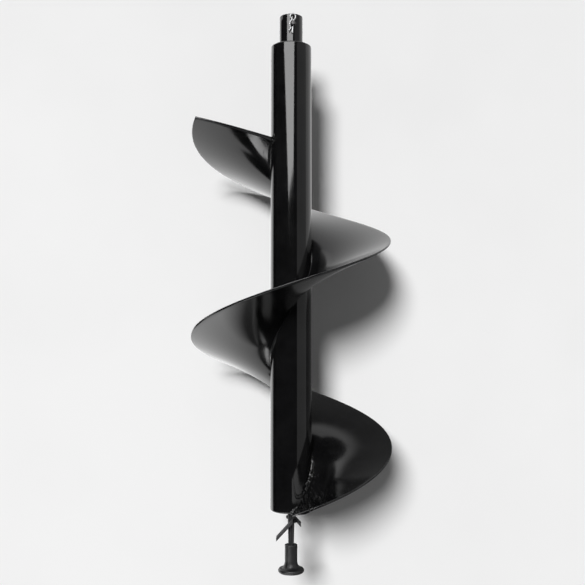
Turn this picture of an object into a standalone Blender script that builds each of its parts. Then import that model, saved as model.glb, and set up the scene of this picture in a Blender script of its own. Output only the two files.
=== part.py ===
"""A powered ice auger bit: a right-hand steel flight round a tubular core, a hollow drive
socket with its hitch pin and spring clip at the top, and a pilot point with its rubber cap
at the bottom.  Metres, +Z up the axis, origin at the middle of the drive socket's top face.
The front of the bit faces -Y."""

import math

import bmesh
import bpy
from mathutils import Matrix, Vector

# ---------------------------------------------------------------- driving dimensions, metres
GAP = 0.0003                    # air left between two pieces that meet

CORE_DIAMETER = 0.0515
CORE_WALL = 0.003
CORE_LENGTH = 0.5835
CORE_EDGE = 0.0016              # rounding of each end of the core tube
CORE_ROUNDING = ((0.5, 0.0), (0.15, 0.4), (0.0, 1.0))   # shares of that, inwards and along

SOCKET_DIAMETER = 0.0293
SOCKET_BORE = 0.0204            # takes a 20 mm drive shaft
SOCKET_STICKOUT = 0.0386        # how far the socket stands out of the core
SOCKET_LENGTH = 0.090
SOCKET_EDGE = 0.0008
SPACER_THICKNESS = 0.006
SPACER_INSET = 0.004            # from the socket's lower end to the spacer ring

PLATE_THICKNESS = 0.005         # the two end plates
GROOVE = 0.0018                 # weld groove between an end plate and the tube
FILLET = 0.0025                 # leg of the weld round the socket
FILLET_SAG = 0.12               # how hollow a fillet weld is, as a share of its leg

PIN_DROP = 0.0145               # from the socket's top face down to the pin's axis
PIN_DIAMETER = 0.006
PIN_CLEARANCE = 0.0002          # between the pin and its holes, on the radius
PIN_END = 0.0075                # how far the pin's plain end stands out of the socket
PIN_HEAD_DIAMETER = 0.0095
PIN_HEAD_THICKNESS = 0.0025
PIN_TURN = math.radians(8.0)    # the pin's axis from the front, about the bit's axis
CLIP_WIRE = 0.0016
CLIP_STANDOFF = 0.0026          # from the socket's skin to the middle of the clip's wire
CLIP_TILT = math.radians(4.4)   # how far the clip leans, about the pin
CLIP_HOLE_CLEARANCE = 0.0002

FLIGHT_DIAMETER = 0.250
FLIGHT_PITCH = 0.2555
FLIGHT_LEAN = 0.025             # how much higher the rim is than the root
FLIGHT_PLATE = 0.0025
FLIGHT_TURNS = 1.80
FLIGHT_END_TURN = 0.99          # the lower end, in turns past the front
FLIGHT_OVERHANG = 0.0035        # the root's lower end below the core tube
TOP_CUT_SKEW = 0.024            # the top cut's root starts this many turns before its rim
SEAM_TURN = 0.43                # where the two pressed sections meet
SEAM_WIDTH = 0.004
SEAM_THICKNESS = 0.0031
SEAM_CROWN = 0.35               # how much the bead's middle stands over its sides
BLADE_WIDTH = 0.013             # the hard strip along the flight's lower end
BLADE_THICKNESS = 0.0034
BLADE_EDGE = 0.001              # thickness left at the strip's sharpened edge
BLADE_FLAT = 0.45               # share of the strip's width that is left unground
JUNCTION_LEG = 0.0045           # leg of the welds between flight and core
JUNCTION_END = 0.004            # turns between a flight end and the weld beside it
TOP_WELD_TURNS = 0.111
STITCH_TURNS = 0.10
STITCH_STARTS = (-0.52, -0.02, 0.53)
BOTTOM_WELD_TURNS = 0.12
WELD_END_SIZE = 0.3             # size of a bead's ends, as a share of its middle
FILLET_SECTION = (              # shares of the leg along the plate and along the wall
    (0.0, 0.0), (1.0, 0.0), (0.58, 0.58), (0.28, 0.86), (0.0, 1.0), (0.0, 0.5),
)

ROD_DIAMETER = 0.0085
ROD_WAIST = 0.0072              # diameter where the rod enters the cap
ROD_NOSE = 0.0058               # diameter where the rod's point begins
ROD_INSIDE = 0.055              # length of rod inside the core
ROD_POINT = 0.008
STAY_THICKNESS = 0.004
STAY_INSET = 0.006              # from the rod's upper end to the stay plate
ROD_WELD = 0.0035

PILOT_THICKNESS = 0.0028
PILOT_DEPTH = 0.0126            # size of each pilot blade away from the rod
PILOT_SLOPE = math.radians(46.7)
PILOT_FRONT_REACH = 0.0183
PILOT_FRONT_DROP = 0.035        # from the core's lower end to the front blade's tip
PILOT_FRONT_START = 0.002       # the upper end's distance past the rod's middle
PILOT_REAR_REACH = 0.0125
PILOT_REAR_DROP = 0.0228
PILOT_REAR_START = 0.0
PILOT_WELD = 0.003
PILOT_WELD_SWEEP = math.radians(62)
PILOT_WELD_CLEAR = 0.12         # radians between a blade's end and its weld
BEAD_SECTION = (                # shares of the bead's size off the rod and along it
    (0.0, -1.0), (0.62, -0.75), (1.0, -0.2), (1.0, 0.2), (0.62, 0.75), (0.0, 1.0),
)

CAP_DROP = 0.0423               # from the core's lower end to the cap's mouth
CAP_LENGTH = 0.0345
CAP_SLEEVE = 0.0155
CAP_FLANGE = 0.0323
CAP_FLARE = 0.0147              # height of the flared foot
CAP_RIM = 0.0058                # height of the foot's rounded rim
CAP_CLEARANCE = 0.0003
CAP_FLOOR = 0.0062              # rubber under the rod's point

# ---------------------------------------------------------------- mesh resolution
CORE_SIDES = 60
SOCKET_SIDES = 40
SMALL_SIDES = 24
STEPS_PER_TURN = 60
FLIGHT_STATIONS = (0.0, 0.04, 0.11, 0.25, 0.55, 1.0)  # root to rim, where the plate has points
ARC_STEPS = 6
CLIP_RESOLUTION = 4
CLIP_STRAIGHT_KNOTS = 3         # knots of the clip's route on its straight leg

# ---------------------------------------------------------------- derived places and sizes
CORE_RADIUS = CORE_DIAMETER / 2
CORE_INSIDE = CORE_RADIUS - CORE_WALL
CORE_TOP = -SOCKET_STICKOUT
CORE_BOTTOM = CORE_TOP - CORE_LENGTH
SOCKET_RADIUS = SOCKET_DIAMETER / 2
PIN_RADIUS = PIN_DIAMETER / 2
CLIP_PLANE = SOCKET_RADIUS + CLIP_STANDOFF
ROOT_RADIUS = CORE_RADIUS + GAP
RIM_RADIUS = FLIGHT_DIAMETER / 2
ROOT_END_Z = CORE_BOTTOM - FLIGHT_OVERHANG
LEAN_SLOPE = FLIGHT_LEAN / (RIM_RADIUS - ROOT_RADIUS)
TOP_TURN = FLIGHT_END_TURN - FLIGHT_TURNS
ROD_RADIUS = ROD_DIAMETER / 2
CAP_TOP = CORE_BOTTOM - CAP_DROP
CAP_BOTTOM = CAP_TOP - CAP_LENGTH
ROD_TIP = CAP_BOTTOM + CAP_FLOOR + 2 * GAP

BLACK = (0.012, 0.012, 0.013, 1.0)
STEEL = (0.55, 0.55, 0.56, 1.0)
DARK_STEEL = (0.05, 0.05, 0.055, 1.0)
RUBBER = (0.022, 0.022, 0.023, 1.0)


def clear_scene():
    for thing in list(bpy.data.objects):
        bpy.data.objects.remove(thing, do_unlink=True)


# ---------------------------------------------------------------- finishes
def finish(name, colour, metallic, roughness):
    material = bpy.data.materials.new(name)
    material.use_nodes = True
    shader = material.node_tree.nodes["Principled BSDF"]
    shader.inputs["Base Color"].default_value = colour
    shader.inputs["Metallic"].default_value = metallic
    shader.inputs["Roughness"].default_value = roughness
    material.diffuse_color = colour
    return material


def black_paint(name):
    return finish(name + "_paint", BLACK, 0.0, 0.15)


def bright_steel(name):
    return finish(name + "_zinc", STEEL, 1.0, 0.25)


def dark_steel(name):
    return finish(name + "_oxide", DARK_STEEL, 1.0, 0.35)


def black_rubber(name):
    return finish(name + "_rubber", RUBBER, 0.0, 0.55)


# ---------------------------------------------------------------- building blocks
def add_piece(name, shape, material, parent=None):
    """Turn a bmesh into a smooth-shaded object with its own material."""
    bmesh.ops.recalc_face_normals(shape, faces=shape.faces)
    mesh = bpy.data.meshes.new(name)
    shape.to_mesh(mesh)
    shape.free()
    mesh.shade_smooth()
    mesh.set_sharp_from_angle(angle=math.radians(35))
    mesh.materials.append(material)
    piece = bpy.data.objects.new(name, mesh)
    bpy.context.scene.collection.objects.link(piece)
    piece.parent = parent
    return piece


def turned(profile, sides, closed=True):
    """Spin a (radius, height) outline round Z.  A closed outline makes a ring, and an open
    one starts and ends on the axis."""
    shape = bmesh.new()
    points = [shape.verts.new((radius, 0.0, height)) for radius, height in profile]
    pairs = list(zip(points, points[1:]))
    if closed:
        pairs.append((points[-1], points[0]))
    edges = [shape.edges.new(pair) for pair in pairs]
    bmesh.ops.spin(
        shape, geom=points + edges, cent=(0, 0, 0), axis=(0, 0, 1),
        angle=math.tau, steps=sides, use_merge=True,
    )
    bmesh.ops.remove_doubles(shape, verts=shape.verts, dist=1e-6)
    return shape


def lofted(sections, loop=False):
    """Skin closed sections of equal point counts; each section's ends are capped in quads
    that join its first half to its second half."""
    shape = bmesh.new()
    rows = [[shape.verts.new(point) for point in section] for section in sections]
    count = len(rows[0])
    pairs = list(zip(rows, rows[1:]))
    if loop:
        pairs.append((rows[-1], rows[0]))
    for near, far in pairs:
        for i in range(count):
            j = (i + 1) % count
            shape.faces.new((near[i], near[j], far[j], far[i]))
    if not loop:
        for row in (rows[0], rows[-1]):
            for i in range(count // 2 - 1):
                shape.faces.new((row[i], row[i + 1], row[count - 2 - i], row[count - 1 - i]))
    return shape


def drill(piece, radius, depth, place):
    """Cut a round hole along the local Z of the given matrix."""
    shape = bmesh.new()
    bmesh.ops.create_cone(
        shape, segments=SMALL_SIDES, radius1=radius, radius2=radius, depth=depth, cap_ends=True
    )
    cutter = add_piece(piece.name + "_drill", shape, None, piece.parent)
    cutter.matrix_local = place
    cutter.hide_render = True
    cutter.display_type = "WIRE"
    cut = piece.modifiers.new("drill", "BOOLEAN")
    cut.operation = "DIFFERENCE"
    cut.solver = "EXACT"
    cut.object = cutter


def fillet_ring(root, base, side, leg):
    """Outline of a fillet weld round a shaft: root is the shaft's radius, base the weld's
    flat side, and side which way the weld stands off it."""
    inner = root + GAP
    steps = ARC_STEPS // 2
    outline = [(inner, base)]
    for i in range(steps + 1):
        angle = math.pi / 2 * i / steps
        size = leg * (1 - FILLET_SAG * math.sin(2 * angle))
        outline.append((inner + size * math.cos(angle), base + side * size * math.sin(angle)))
    return outline


# ---------------------------------------------------------------- core tube and end plates
def make_core_tube():
    outline = [(CORE_INSIDE, CORE_BOTTOM + GROOVE), (CORE_INSIDE + GROOVE, CORE_BOTTOM)]
    for inset, rise in CORE_ROUNDING:
        outline.append((CORE_RADIUS - CORE_EDGE * inset, CORE_BOTTOM + CORE_EDGE * rise))
    for inset, rise in reversed(CORE_ROUNDING):
        outline.append((CORE_RADIUS - CORE_EDGE * inset, CORE_TOP - CORE_EDGE * rise))
    outline += [(CORE_INSIDE + GROOVE, CORE_TOP), (CORE_INSIDE, CORE_TOP - GROOVE)]
    add_piece("core_tube", turned(outline, CORE_SIDES), black_paint("core_tube"))


def end_plate(name, bore_radius, face, inward, leg):
    """A round plate with a weld groove at its rim, and a shallow recess round its bore
    that takes the foot of the shaft's weld."""
    inner = bore_radius + GAP
    outer = CORE_INSIDE - GAP
    weld_foot = inner + leg + GAP
    outline = [
        (inner, face + inward * GAP),
        (weld_foot, face + inward * GAP),
        (weld_foot, face),
        (outer - GROOVE, face),
        (outer, face + inward * GROOVE),
        (outer, face + inward * PLATE_THICKNESS),
        (inner, face + inward * PLATE_THICKNESS),
    ]
    add_piece(name, turned(outline, CORE_SIDES), black_paint(name))


def groove_weld(name, face, outward):
    """The ring of weld that fills the groove between an end plate and the tube, dressed
    almost flush."""
    middle = CORE_INSIDE - GAP / 2
    half = GROOVE - GAP
    crown = GAP
    outline = [
        (middle, face - outward * half),
        (middle + half, face),
        (middle + half * 0.5, face + outward * crown),
        (middle - half * 0.5, face + outward * crown),
        (middle - half, face),
    ]
    add_piece(name, turned(outline, CORE_SIDES), black_paint(name))


def inner_ring(name, bore_radius, top, thickness):
    """A ring that sits inside the core tube and holds a shaft in its middle."""
    inner = bore_radius + GAP
    outer = CORE_INSIDE - GAP
    bottom = top - thickness
    outline = [(inner, top), (outer, top), (outer, bottom), (inner, bottom)]
    add_piece(name, turned(outline, SOCKET_SIDES), black_paint(name))


# ---------------------------------------------------------------- drive socket, pin and clip
def make_drive_socket(pin_frame):
    bore = SOCKET_BORE / 2
    outline = [
        (bore + SOCKET_EDGE / 2, 0.0),
        (SOCKET_RADIUS - SOCKET_EDGE, 0.0),
        (SOCKET_RADIUS - SOCKET_EDGE * 0.3, -SOCKET_EDGE * 0.3),
        (SOCKET_RADIUS, -SOCKET_EDGE),
        (SOCKET_RADIUS, -SOCKET_LENGTH),
        (bore, -SOCKET_LENGTH),
        (bore, -SOCKET_EDGE / 2),
    ]
    socket = add_piece("drive_socket", turned(outline, SOCKET_SIDES), black_paint("drive_socket"))
    drill(socket, PIN_RADIUS + PIN_CLEARANCE, 4 * SOCKET_DIAMETER, pin_frame @ ALONG_PIN)


def make_hitch_pin(axle):
    """Local Y runs along the pin, with the head behind and the plain end in front."""
    shank_back = SOCKET_RADIUS + GAP
    shank_front = -SOCKET_RADIUS - PIN_END
    chamfer = PIN_RADIUS * 0.3
    head_edge = PIN_HEAD_THICKNESS * 0.25
    head = PIN_HEAD_DIAMETER / 2
    outline = [
        (0.0, shank_front),
        (PIN_RADIUS - chamfer, shank_front),
        (PIN_RADIUS, shank_front + chamfer),
        (PIN_RADIUS, shank_back),
        (head, shank_back),
        (head, shank_back + PIN_HEAD_THICKNESS - head_edge),
        (head - head_edge, shank_back + PIN_HEAD_THICKNESS),
        (0.0, shank_back + PIN_HEAD_THICKNESS),
    ]
    shape = turned(outline, SMALL_SIDES, closed=False)
    bmesh.ops.transform(shape, matrix=ALONG_PIN, verts=shape.verts)
    pin = add_piece("hitch_pin", shape, dark_steel("hitch_pin"), axle)
    hole = CLIP_WIRE / 2 + CLIP_HOLE_CLEARANCE
    drill(pin, hole, 4 * PIN_RADIUS, Matrix.Translation((0.0, -CLIP_PLANE, 0.0)))


def clip_route():
    """Middle of the clip's wire in its own plane: across and up from the pin's axis.  The
    straight leg goes up through the pin, round the loop, and the sprung leg comes down
    round the pin's left side and flares out."""
    wire = CLIP_WIRE
    hug = PIN_RADIUS + wire / 2 + GAP
    touch = wire + GAP
    neck = PIN_RADIUS + 2.4 * GAP
    loop = 0.0034
    loop_height = neck + 0.0061
    return [
        (0.0, -0.0113),
        (0.0, -0.005),
        (0.0, neck),
        (loop * 0.45, neck + 0.0028),
        (loop - touch / 2, loop_height),
        (-touch / 2, loop_height + loop),
        (-loop - touch / 2, loop_height),
        (-touch * 0.95, neck + 0.0021),
        (-hug * 0.88, hug * 0.60),
        (-hug, 0.0),
        (-hug * 0.86, -hug * 0.60),
        (-touch - 0.2 * wire, -hug - 0.0008),
        (-touch - 1.1 * wire, -hug - 0.0032),
        (-touch - 2.0 * wire, -hug - 0.0052),
    ]


def make_r_clip(axle):
    curve = bpy.data.curves.new("r_clip", "CURVE")
    curve.dimensions = "3D"
    curve.bevel_depth = CLIP_WIRE / 2
    curve.bevel_resolution = 2
    curve.resolution_u = CLIP_RESOLUTION
    curve.use_fill_caps = True
    route = clip_route()
    spline = curve.splines.new("BEZIER")
    spline.bezier_points.add(len(route) - 1)
    for index, (knot, (across, up)) in enumerate(zip(spline.bezier_points, route)):
        straight = index < CLIP_STRAIGHT_KNOTS
        knot.handle_left_type = "FREE" if straight else "AUTO"
        knot.handle_right_type = knot.handle_left_type
        knot.co = (across, -CLIP_PLANE, up)
        if straight:
            knot.handle_left = knot.co - Vector((0.0, 0.0, CLIP_WIRE))
            knot.handle_right = knot.co + Vector((0.0, 0.0, CLIP_WIRE))
    curve.materials.append(bright_steel("r_clip"))
    clip = bpy.data.objects.new("r_clip", curve)
    bpy.context.scene.collection.objects.link(clip)
    clip.parent = axle


# ---------------------------------------------------------------- flight
def outward(turn):
    """Unit vector away from the axis.  Turn 0 is the front, and turns grow downwards."""
    return Vector((-math.sin(math.tau * turn), -math.cos(math.tau * turn), 0.0))


def flight_height(turn, radius):
    drop = FLIGHT_PITCH * (FLIGHT_END_TURN - turn)
    return ROOT_END_Z + drop + LEAN_SLOPE * (radius - ROOT_RADIUS)


def steepness(radius):
    """Vertical thickness over true thickness of the flight at a radius."""
    climb = FLIGHT_PITCH / (math.tau * radius)
    return math.sqrt(1 + climb**2 + LEAN_SLOPE**2)


def flight_point(turn, radius, offset):
    """A point off the flight's middle surface, offset metres square to it."""
    height = flight_height(turn, radius) + offset * steepness(radius)
    return outward(turn) * radius + Vector((0.0, 0.0, height))


def lag(width, radius):
    """Turns between a radial line and a line beside it, a width away."""
    return math.asin(width / radius) / math.tau


def flight_strip(name, first, last, upper, lower, material):
    """A length of flight plate.  first and last give its ends in turns at a radius, upper
    and lower its faces' offsets at a share of the way along it."""
    radii = [ROOT_RADIUS + share * (RIM_RADIUS - ROOT_RADIUS) for share in FLIGHT_STATIONS]
    length = last(RIM_RADIUS) - first(RIM_RADIUS)
    steps = max(4, math.ceil(length * STEPS_PER_TURN))
    sections = []
    for step in range(steps + 1):
        share = step / steps
        turns = [first(radius) + share * (last(radius) - first(radius)) for radius in radii]
        above = [flight_point(t, r, upper(share)) for t, r in zip(turns, radii)]
        below = [flight_point(t, r, lower(share)) for t, r in zip(turns, radii)]
        sections.append(above + below[::-1])
    return add_piece(name, lofted(sections), material)


def top_cut(radius):
    return TOP_TURN - TOP_CUT_SKEW * (RIM_RADIUS - radius) / (RIM_RADIUS - ROOT_RADIUS)


def make_flight():
    half = FLIGHT_PLATE / 2
    seam_half = SEAM_WIDTH / 2
    blade_back = BLADE_WIDTH + GAP
    weld_back = blade_back + SEAM_WIDTH
    flight_strip(
        "flight_upper", top_cut, lambda r: SEAM_TURN - lag(seam_half, r),
        lambda share: half, lambda share: -half, black_paint("flight_upper"),
    )
    flight_strip(
        "flight_lower", lambda r: SEAM_TURN + lag(seam_half, r),
        lambda r: FLIGHT_END_TURN - lag(weld_back, r),
        lambda share: half, lambda share: -half, black_paint("flight_lower"),
    )
    side = 1 - SEAM_CROWN
    bead = lambda share: SEAM_THICKNESS / 2 * (side + SEAM_CROWN * math.sin(math.pi * share))
    flight_strip(
        "flight_seam_weld", lambda r: SEAM_TURN - lag(seam_half - GAP, r),
        lambda r: SEAM_TURN + lag(seam_half - GAP, r),
        bead, lambda share: -bead(share), black_paint("flight_seam_weld"),
    )
    flight_strip(
        "cutting_blade_weld", lambda r: FLIGHT_END_TURN - lag(weld_back - GAP, r),
        lambda r: FLIGHT_END_TURN - lag(blade_back, r),
        bead, lambda share: -bead(share), black_paint("cutting_blade_weld"),
    )


def make_cutting_blade():
    """The hard strip on the flight's leading end, flush on top and ground from below."""
    top = FLIGHT_PLATE / 2

    def underside(share):
        if share < BLADE_FLAT:
            return top - BLADE_THICKNESS
        left = (1 - share) / (1 - BLADE_FLAT)
        return top - BLADE_EDGE - (BLADE_THICKNESS - BLADE_EDGE) * left

    flight_strip(
        "cutting_blade", lambda r: FLIGHT_END_TURN - lag(BLADE_WIDTH, r),
        lambda r: FLIGHT_END_TURN, lambda share: top, underside, black_paint("cutting_blade"),
    )


def taper(share):
    """Size of a bead at a share of its length: full in the middle and small at its ends."""
    return max(WELD_END_SIZE, math.sqrt(1 - (2 * share - 1) ** 4))


def junction_weld(name, first, last, side):
    """A fillet bead between the core tube and one face of the flight, with tapered ends."""
    steps = max(6, math.ceil((last - first) * STEPS_PER_TURN))
    inner = ROOT_RADIUS
    clear = side * (FLIGHT_PLATE / 2 + GAP)
    sections = []
    for step in range(steps + 1):
        share = step / steps
        turn = first + share * (last - first)
        size = JUNCTION_LEG * taper(share)
        stretch = steepness(inner)
        base = flight_point(turn, inner, clear)
        along_wall = Vector((0.0, 0.0, side * size * stretch))
        along_plate = flight_point(turn, inner + size, clear) - base
        section = [base + along_plate * out + along_wall * up for out, up in FILLET_SECTION]
        sections.append(section)
    add_piece(name, lofted(sections), black_paint(name))


def make_junction_welds():
    upper_start = top_cut(ROOT_RADIUS) + JUNCTION_END
    junction_weld("flight_top_weld", upper_start, upper_start + TOP_WELD_TURNS, -1)
    for number, start in enumerate(STITCH_STARTS, start=1):
        side = 1 if number == 2 else -1
        junction_weld(f"stitch_weld_{number}", start, start + STITCH_TURNS, side)
    blade_and_weld = BLADE_WIDTH + SEAM_WIDTH + 2 * GAP
    lower_stop = FLIGHT_END_TURN - lag(blade_and_weld, ROOT_RADIUS) - JUNCTION_END
    junction_weld("flight_bottom_weld", lower_stop - BOTTOM_WELD_TURNS, lower_stop, 1)


# ---------------------------------------------------------------- pilot point
def make_pilot_rod():
    waist = ROD_WAIST / 2
    nose = ROD_NOSE / 2
    straight = CORE_BOTTOM - ROD_WELD
    outline = [
        (0.0, CORE_BOTTOM + ROD_INSIDE),
        (ROD_RADIUS, CORE_BOTTOM + ROD_INSIDE),
        (ROD_RADIUS, straight),
        (waist, CAP_TOP),
        (nose, ROD_TIP + ROD_POINT),
        (0.0, ROD_TIP),
    ]
    shape = turned(outline, SMALL_SIDES, closed=False)
    add_piece("pilot_rod", shape, black_paint("pilot_rod"))


def pilot_blade(name, side, reach, drop, start):
    """A flat bar that slopes down to one side of the rod: side is 1 for the front blade,
    which slopes to -X, and -1 for the rear one, its half-turn copy."""
    rise = math.tan(PILOT_SLOPE)
    deep = PILOT_THICKNESS / math.cos(PILOT_SLOPE)
    tip = CORE_BOTTOM - drop
    near = ROD_RADIUS + GAP
    sections = []
    for across in (-reach, start):
        low = tip + (across + reach) * rise
        sections.append([
            (side * across, -side * near, low),
            (side * across, -side * (near + PILOT_DEPTH), low),
            (side * across, -side * (near + PILOT_DEPTH), low + deep),
            (side * across, -side * near, low + deep),
        ])
    return add_piece(name, lofted(sections), black_paint(name))


def pilot_weld(name, side, reach, drop, start):
    """A short bead that hugs the rod beside a blade's upper end."""
    rise = math.tan(PILOT_SLOPE)
    middle = CORE_BOTTOM - drop + (start + reach) * rise
    inner = ROD_RADIUS + GAP
    begin = math.asin((start + 2 * GAP) / inner) + PILOT_WELD_CLEAR
    steps = 12
    sections = []
    for step in range(steps + 1):
        share = step / steps
        angle = begin + PILOT_WELD_SWEEP * share
        size = PILOT_WELD * taper(share)
        away = Vector((side * math.sin(angle), -side * math.cos(angle), 0.0))
        centre = away * inner + Vector((0.0, 0.0, middle))
        lift = Vector((0.0, 0.0, size))
        section = [centre + away * size * out + lift * up for out, up in BEAD_SECTION]
        sections.append(section)
    add_piece(name, lofted(sections), black_paint(name))


def make_pilot():
    make_pilot_rod()
    front = (1, PILOT_FRONT_REACH, PILOT_FRONT_DROP, PILOT_FRONT_START)
    rear = (-1, PILOT_REAR_REACH, PILOT_REAR_DROP, PILOT_REAR_START)
    pilot_blade("pilot_blade_front", *front)
    pilot_blade("pilot_blade_rear", *rear)
    pilot_weld("pilot_blade_front_weld", *front)
    pilot_weld("pilot_blade_rear_weld", *rear)
    outline = fillet_ring(ROD_RADIUS, CORE_BOTTOM, -1, ROD_WELD)
    add_piece("pilot_rod_weld", turned(outline, SMALL_SIDES), black_paint("pilot_rod_weld"))


# ---------------------------------------------------------------- rubber tip cap
def make_tip_cap():
    sleeve = CAP_SLEEVE / 2
    flange = CAP_FLANGE / 2
    bore = ROD_WAIST / 2 + CAP_CLEARANCE
    lip = 0.0008
    flare_top = CAP_BOTTOM + CAP_FLARE
    rim_top = CAP_BOTTOM + CAP_RIM
    rim = CAP_RIM / 2
    outline = [(0.0, CAP_BOTTOM + CAP_FLOOR), (bore, CAP_BOTTOM + CAP_FLOOR)]
    outline += [(bore, CAP_TOP - lip), (bore + lip, CAP_TOP), (sleeve - lip, CAP_TOP)]
    outline += [(sleeve, CAP_TOP - lip)]
    for i in range(ARC_STEPS + 1):
        angle = math.pi / 2 * i / ARC_STEPS
        radius = sleeve + (flange - rim - sleeve) * (1 - math.cos(angle))
        outline.append((radius, flare_top - (flare_top - rim_top) * math.sin(angle)))
    for i in range(1, ARC_STEPS + 1):
        angle = math.pi / 2 - math.pi * i / ARC_STEPS
        outline.append((flange - rim + rim * math.cos(angle), CAP_BOTTOM + rim + rim * math.sin(angle)))
    outline.append((0.0, CAP_BOTTOM))
    shape = turned(outline, SOCKET_SIDES, closed=False)
    cap = add_piece("tip_cap", shape, black_rubber("tip_cap"))
    return cap


# ---------------------------------------------------------------- assembly
ALONG_PIN = Matrix.Rotation(-math.pi / 2, 4, "X")  # local Z onto local Y


def make_pin_axle():
    """An empty on the pin's axis that the pin and its clip hang from."""
    place = Matrix.Translation((0.0, 0.0, -PIN_DROP))
    place @= Matrix.Rotation(PIN_TURN, 4, "Z") @ Matrix.Rotation(CLIP_TILT, 4, "Y")
    axle = bpy.data.objects.new("pin_axle", None)
    bpy.context.scene.collection.objects.link(axle)
    axle.matrix_world = place
    return axle, place


def main():
    clear_scene()
    make_core_tube()
    end_plate("top_plate", SOCKET_RADIUS, CORE_TOP, -1, FILLET)
    end_plate("bottom_plate", ROD_RADIUS, CORE_BOTTOM, 1, ROD_WELD)
    groove_weld("top_plate_weld", CORE_TOP, 1)
    groove_weld("bottom_plate_weld", CORE_BOTTOM, -1)
    spacer_top = SPACER_INSET + SPACER_THICKNESS - SOCKET_LENGTH
    inner_ring("socket_spacer", SOCKET_RADIUS, spacer_top, SPACER_THICKNESS)
    stay_top = CORE_BOTTOM + ROD_INSIDE - STAY_INSET
    inner_ring("pilot_stay", ROD_RADIUS, stay_top, STAY_THICKNESS)
    outline = fillet_ring(SOCKET_RADIUS, CORE_TOP, 1, FILLET)
    add_piece("socket_weld", turned(outline, SOCKET_SIDES), black_paint("socket_weld"))
    axle, pin_frame = make_pin_axle()
    make_drive_socket(pin_frame)
    make_hitch_pin(axle)
    make_r_clip(axle)
    make_flight()
    make_cutting_blade()
    make_junction_welds()
    make_pilot()
    make_tip_cap()


main()
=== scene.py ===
"""Finish of the ice auger bit: every visible piece is rebuilt with fine geometry round the
CAD frame and painted, then set in front of a pale surface.  A sun lights it and casts its
shadow, and panels and cards that show only in reflections shape its highlights.
Metres, +Z up the bit's axis, -Y towards the viewer."""

import math
import random

import bmesh
import bpy
from mathutils import Matrix, Vector, noise


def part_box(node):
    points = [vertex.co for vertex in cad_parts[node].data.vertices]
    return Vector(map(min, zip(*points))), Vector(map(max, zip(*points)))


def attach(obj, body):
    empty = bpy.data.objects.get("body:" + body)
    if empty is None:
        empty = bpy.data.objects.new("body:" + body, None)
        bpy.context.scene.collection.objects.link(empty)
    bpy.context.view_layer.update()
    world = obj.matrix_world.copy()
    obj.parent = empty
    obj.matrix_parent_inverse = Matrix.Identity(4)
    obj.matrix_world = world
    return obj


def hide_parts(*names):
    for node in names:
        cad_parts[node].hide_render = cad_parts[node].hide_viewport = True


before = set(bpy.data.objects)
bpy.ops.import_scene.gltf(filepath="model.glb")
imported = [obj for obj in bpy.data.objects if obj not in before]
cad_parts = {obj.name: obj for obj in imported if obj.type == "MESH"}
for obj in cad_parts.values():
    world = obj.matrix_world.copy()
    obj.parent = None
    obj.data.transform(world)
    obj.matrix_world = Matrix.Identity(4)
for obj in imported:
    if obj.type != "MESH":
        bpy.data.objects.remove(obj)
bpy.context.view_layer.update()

# ---------------- sizes read from the frame
core_low, core_high = (Vector(corner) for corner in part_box("core_tube"))
socket_low, socket_high = (Vector(corner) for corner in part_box("drive_socket"))
cap_low, cap_high = (Vector(corner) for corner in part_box("tip_cap"))
rod_low, rod_high = (Vector(corner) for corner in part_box("pilot_rod"))

CORE_RADIUS = core_high.x
CORE_TOP = core_high.z
CORE_BOTTOM = core_low.z
SOCKET_RADIUS = socket_high.x
SOCKET_BOTTOM = socket_low.z
ROD_RADIUS = rod_high.x
ROD_TOP = rod_high.z
ROD_TIP = rod_low.z
CAP_TOP = cap_high.z
CAP_BOTTOM = cap_low.z
CAP_FLANGE = cap_high.x

# ---------------- sizes shared with the CAD
GAP = 0.0003
CORE_WALL = 0.003
CORE_EDGE = 0.0016
SOCKET_BORE = 0.0102            # radius
SOCKET_EDGE = 0.0008
PLATE_THICKNESS = 0.005
GROOVE = 0.0018
FILLET = 0.0025
PIN_DROP = 0.0145
PIN_RADIUS = 0.003
PIN_CLEARANCE = 0.0002
PIN_END = 0.0075
PIN_HEAD_RADIUS = 0.00475
PIN_HEAD_THICKNESS = 0.0025
PIN_TURN = math.radians(8.0)
CLIP_WIRE = 0.0016
CLIP_CLEARANCE = 0.0002
CLIP_STANDOFF = 0.0026
CLIP_TILT = math.radians(4.4)
RIM_RADIUS = 0.125
FLIGHT_PITCH = 0.2555
FLIGHT_LEAN = 0.025
FLIGHT_PLATE = 0.0025
FLIGHT_TURNS = 1.80
FLIGHT_END_TURN = 0.99
FLIGHT_OVERHANG = 0.0035
TOP_CUT_SKEW = 0.024
SEAM_TURN = 0.43
SEAM_WIDTH = 0.004
SEAM_THICKNESS = 0.0031
BLADE_WIDTH = 0.013
BLADE_THICKNESS = 0.0034
BLADE_EDGE = 0.001
JUNCTION_LEG = 0.0045
ROD_WAIST = 0.0036              # radius
ROD_NOSE = 0.0029
ROD_POINT = 0.008
ROD_WELD = 0.0035
PILOT_THICKNESS = 0.0028
PILOT_DEPTH = 0.0126
PILOT_SLOPE = math.radians(46.7)
PILOT_FRONT = (1, 0.0183, 0.035, 0.002)     # side, reach, drop and start of the front blade
PILOT_REAR = (-1, 0.0125, 0.0228, 0.0)
PILOT_WELD = 0.003
CAP_SLEEVE = 0.00775            # radius
CAP_FLARE = 0.0147
CAP_RIM = 0.0058
CAP_FLOOR = 0.0062
CAP_CLEARANCE = 0.0003

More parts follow.
